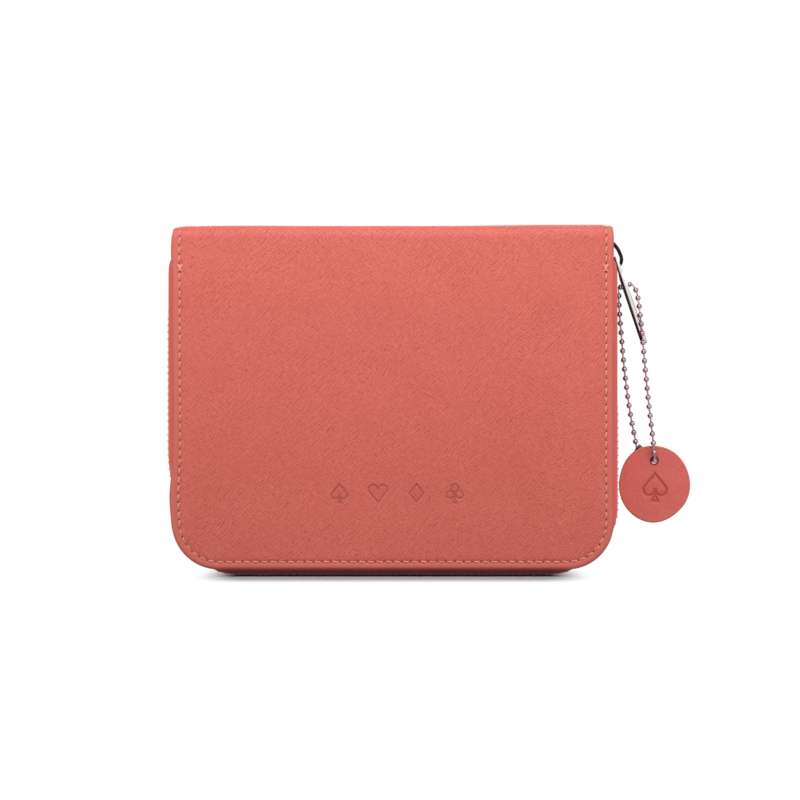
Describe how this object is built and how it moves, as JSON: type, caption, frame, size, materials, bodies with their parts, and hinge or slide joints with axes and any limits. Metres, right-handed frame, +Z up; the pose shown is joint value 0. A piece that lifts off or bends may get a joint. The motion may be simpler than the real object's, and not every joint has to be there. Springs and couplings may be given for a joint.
{
  "type": "bridge card case",
  "caption": "Zip-around leather case for bridge cards, score pad and pencil; it stands on its zip and has a hanging puller, bead chain and round tag.",
  "frame": {"origin": "middle of the zip's lowest face, where the closed case stands", "axes": "+X to the right seen from the front cover, towards the side with the slider; +Y from the front cover to the back cover; +Z up to the spine"},
  "size_m": [0.1915, 0.036, 0.1266],
  "materials": {
    "cover_leather": "coral pebble grain",
    "lining_leather": "smooth, matte",
    "stiffener_board": "grey board, hidden",
    "zip_tape": "woven, matte",
    "zip_teeth": "polished",
    "plated_slider": "bright nickel plate",
    "plated_chain": "bright nickel plate",
    "tag_leather": "smooth, satin"
  },
  "bodies": {
    "back": {"back_cover_leather": "cover_leather", "back_board": "stiffener_board", "back_lining": "lining_leather", "deck_pocket_left": "cover_leather", "deck_pocket_right": "cover_leather", "back_zip_tape": "zip_tape", "back_zip_teeth": "zip_teeth", "back_top_stop": "zip_teeth", "zip_bottom_stop": "zip_teeth"},
    "spine": {"spine_leather": "cover_leather", "spine_board": "stiffener_board", "spine_lining": "lining_leather"},
    "front": {"front_cover_leather": "cover_leather", "front_board": "stiffener_board", "front_lining": "lining_leather", "score_pad_pocket": "cover_leather", "pencil_loop": "cover_leather", "front_zip_tape": "zip_tape", "front_zip_teeth": "zip_teeth", "front_top_stop": "zip_teeth"},
    "slider": {"slider_outer_plate": "plated_slider", "slider_inner_plate": "plated_slider", "slider_bail": "plated_slider"},
    "puller": {"zip_puller": "plated_slider"},
    "chain": {"bead_chain": "plated_chain", "chain_connector": "plated_chain"},
    "tag": {"leather_tag": "tag_leather"}
  },
  "joints": [
    {"name": "spine_fold", "type": "hinge", "parent": "back", "child": "spine", "pos_m": [0, 0.01714, 0.12574], "axis": [-1, 0, 0], "range_deg": [0, 90]},
    {"name": "cover_fold", "type": "hinge", "parent": "spine", "child": "front", "pos_m": [0, -0.01714, 0.12574], "axis": [-1, 0, 0], "range_deg": [0, 90]},
    {"name": "slider_travel", "type": "slide", "parent": "back", "child": "slider", "axis": [0.0676, 0, -0.9977], "range_m": [0, 0.048]},
    {"name": "puller_swing", "type": "hinge", "parent": "slider", "child": "puller", "pos_m": [0.08166, 0, 0.116], "axis": [0, -1, 0], "range_deg": [0, 150]},
    {"name": "chain_swing", "type": "hinge", "parent": "puller", "child": "chain", "pos_m": [0.0851, 0, 0.10577], "axis": [-0.9478, 0, -0.319], "range_deg": [0, 30]},
    {"name": "tag_swing", "type": "hinge", "parent": "chain", "child": "tag", "pos_m": [0.09577, 0, 0.04182], "axis": [0, -1, 0], "range_deg": [0, 90]}
  ],
  "couplings": [
    {"joint": "cover_fold", "follows": "spine_fold", "ratio": 1}
  ]
}
